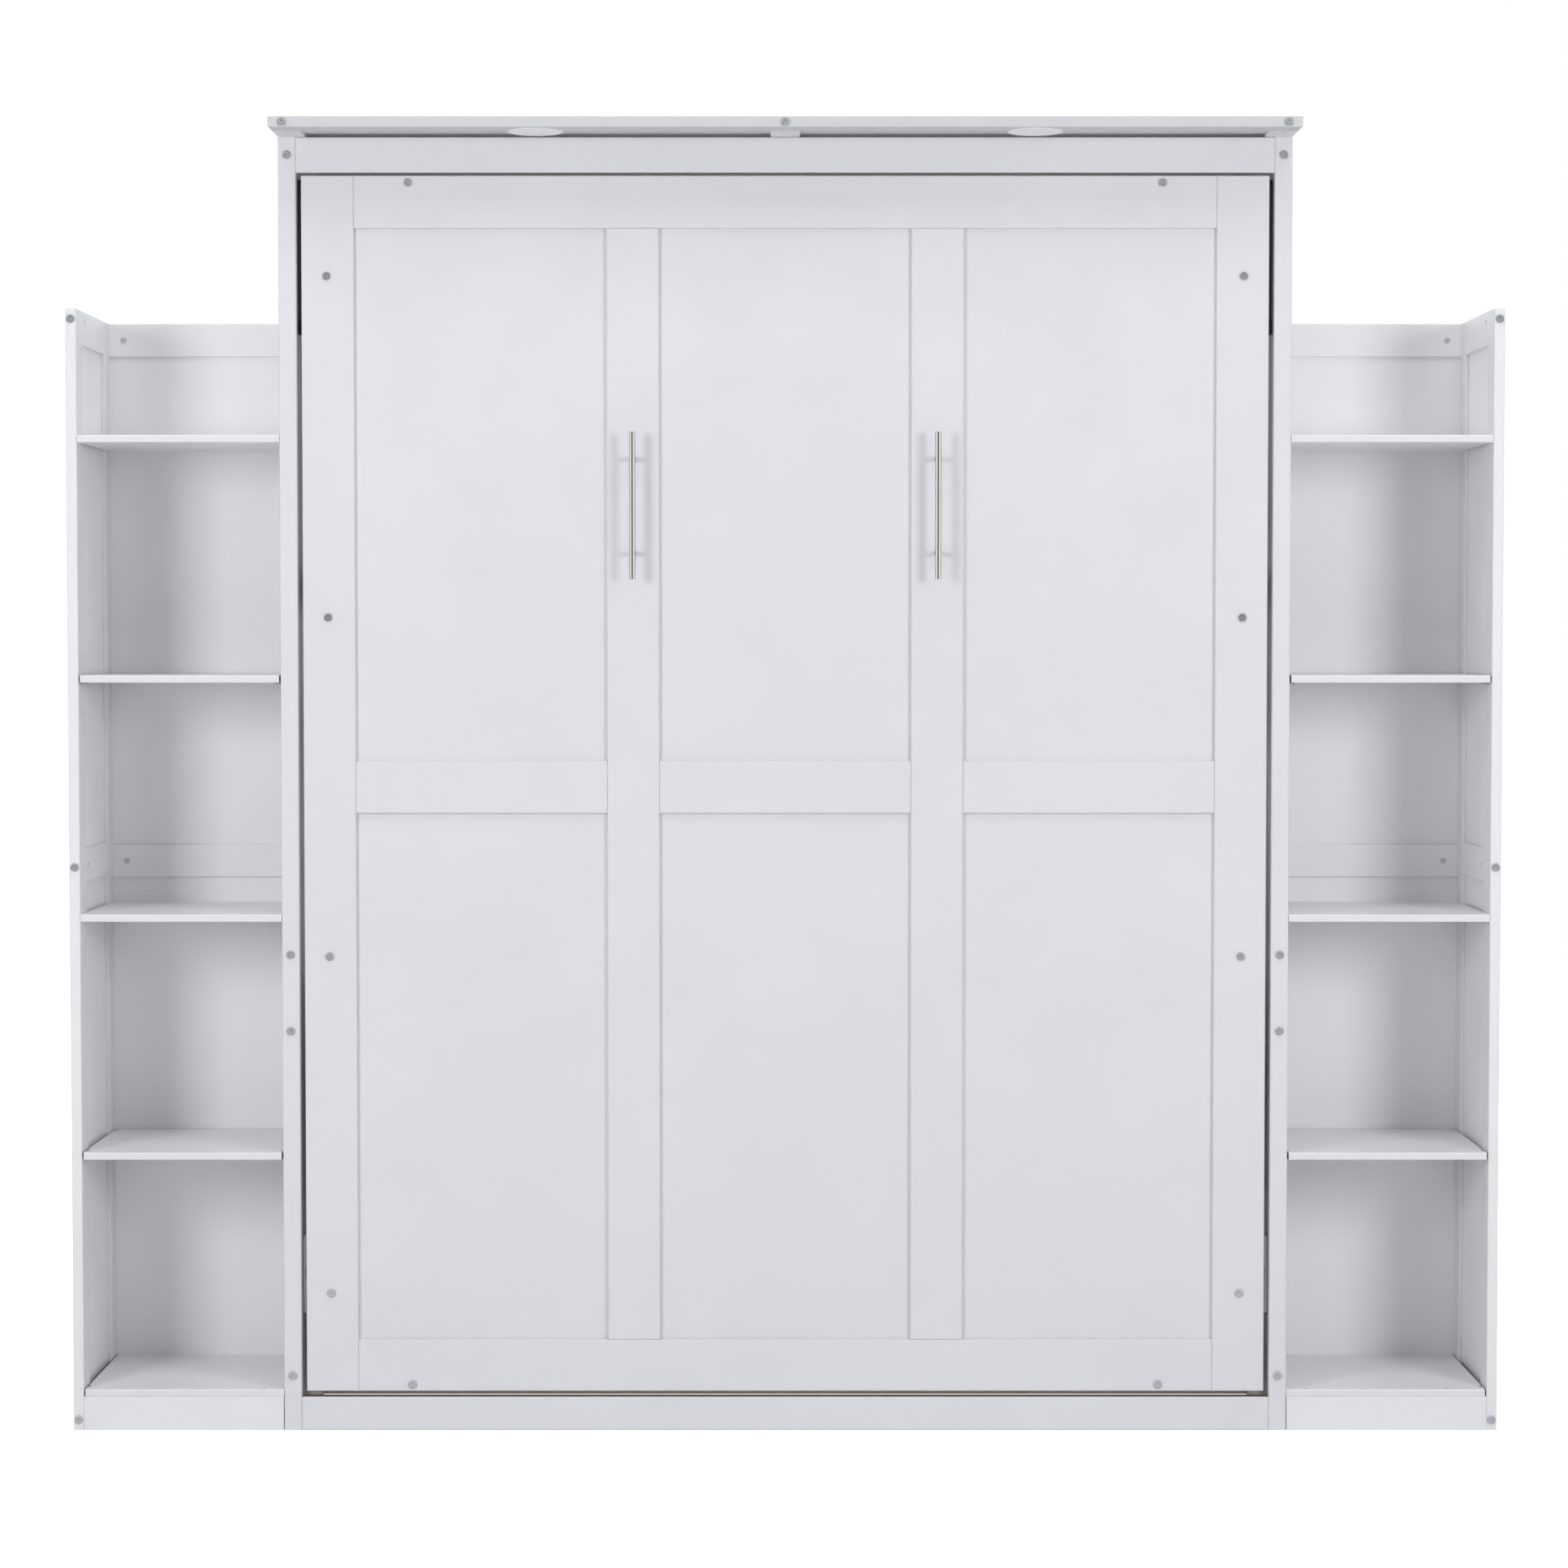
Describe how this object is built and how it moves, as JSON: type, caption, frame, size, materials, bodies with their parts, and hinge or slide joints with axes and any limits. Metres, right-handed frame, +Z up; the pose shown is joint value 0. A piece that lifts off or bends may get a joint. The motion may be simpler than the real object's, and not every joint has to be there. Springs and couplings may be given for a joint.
{
  "type": "wall bed",
  "caption": "Fold-down wall bed with a panelled white face, cabinet, lit top frame and an open bookcase on each side.",
  "frame": {"origin": "on the floor, at the middle of the footprint", "axes": "+X to the viewer's right along the width, +Y back towards the wall, +Z up"},
  "size_m": [2.45, 0.4446, 2.231],
  "materials": {
    "painted_board": "satin white paint",
    "slat_wood": "plain pine",
    "steel": "zinc plated",
    "handle_steel": "satin stainless",
    "black_steel": "black powder coat",
    "black_plastic": "matte",
    "nylon": "white nylon",
    "light_plastic": "white",
    "chrome_rod": "polished"
  },
  "bodies": {
    "cabinet": {"front_post_right": "painted_board", "front_post_left": "painted_board", "rear_posts": "painted_board", "cabinet_side_rails_right": "painted_board", "cabinet_side_rails_left": "painted_board", "cabinet_side_panels": "painted_board", "cabinet_back_rails": "painted_board", "header_rail": "painted_board", "kick_rail": "painted_board", "top_front_rail": "painted_board", "top_rear_rail": "painted_board", "top_cross_rails": "painted_board", "top_panels": "painted_board", "puck_light_left": "light_plastic", "puck_light_right": "light_plastic", "bookcase_rear_stiles": "painted_board", "bookcase_side_panels": "painted_board", "bookcase_back_rails": "painted_board", "bookcase_back_panels": "painted_board", "bookcase_plinths": "painted_board", "shelf_pins": "steel", "wall_screws": "steel", "frame_bolts": "steel", "hinge_plate_right": "steel", "hinge_plate_left": "steel", "strut_brackets": "steel", "bookcase_left_front_stile": "painted_board", "bookcase_left_side_rails": "painted_board", "bookcase_left_fixed_shelves": "painted_board", "bookcase_left_adjustable_shelves": "painted_board", "bookcase_right_front_stile": "painted_board", "bookcase_right_side_rails": "painted_board", "bookcase_right_fixed_shelves": "painted_board", "bookcase_right_adjustable_shelves": "painted_board"},
    "bed": {"face_stile_right": "painted_board", "face_stile_left": "painted_board", "face_top_rail": "painted_board", "face_bottom_rail": "painted_board", "face_inner_stiles": "painted_board", "face_mid_rails": "painted_board", "face_panels": "painted_board", "bed_side_rail_right": "painted_board", "bed_side_rail_left": "painted_board", "bed_end_rails": "painted_board", "bed_slats": "slat_wood", "bed_bolts": "steel", "handle_right": "handle_steel", "handle_left": "handle_steel", "bed_hinge_plates": "steel", "pivot_bushes": "nylon", "bed_strut_brackets": "steel", "leg_pivot_pins": "steel"},
    "leg_left": {"leg_left": "black_steel", "leg_foot_left": "black_plastic"},
    "leg_right": {"leg_right": "black_steel", "leg_foot_right": "black_plastic"},
    "strut_cylinder_left": {"strut_cylinder_left": "black_steel"},
    "strut_cylinder_right": {"strut_cylinder_right": "black_steel"},
    "strut_rod_left": {"strut_rod_left": "chrome_rod"},
    "strut_rod_right": {"strut_rod_right": "chrome_rod"}
  },
  "joints": [
    {"name": "bed_fold", "type": "hinge", "parent": "cabinet", "child": "bed", "pos_m": [0, -0.0427, 0.265], "axis": [1, 0, 0], "range_deg": [0, 90], "stiffness_Nm_per_rad": 236, "springref_deg": -6.88},
    {"name": "leg_swing_left", "type": "hinge", "parent": "bed", "child": "leg_left", "pos_m": [-0.8275, -0.0577, 2.132], "axis": [-1, 0, 0], "range_deg": [0, 90]},
    {"name": "strut_swing_left", "type": "hinge", "parent": "cabinet", "child": "strut_cylinder_left", "pos_m": [-0.811, 0.1023, 0.7555], "axis": [1, 0, 0], "range_deg": [0, 7.17]},
    {"name": "strut_stroke_left", "type": "slide", "parent": "strut_cylinder_left", "child": "strut_rod_left", "axis": [0, -0.1002, -0.995], "range_m": [-0.2383, 0]},
    {"name": "leg_swing_right", "type": "hinge", "parent": "bed", "child": "leg_right", "pos_m": [0.8275, -0.0577, 2.132], "axis": [-1, 0, 0], "range_deg": [0, 90]},
    {"name": "strut_swing_right", "type": "hinge", "parent": "cabinet", "child": "strut_cylinder_right", "pos_m": [0.811, 0.1023, 0.7555], "axis": [1, 0, 0], "range_deg": [0, 7.17]},
    {"name": "strut_stroke_right", "type": "slide", "parent": "strut_cylinder_right", "child": "strut_rod_right", "axis": [0, -0.1002, -0.995], "range_m": [-0.2383, 0]}
  ],
  "couplings": [
    {"joint": "strut_swing_left", "follows": "bed_fold", "ratio": 0.079396},
    {"joint": "strut_stroke_left", "follows": "bed_fold", "m_per_rad": -0.15161},
    {"joint": "strut_swing_right", "follows": "bed_fold", "ratio": 0.079396},
    {"joint": "strut_stroke_right", "follows": "bed_fold", "m_per_rad": -0.15161}
  ]
}
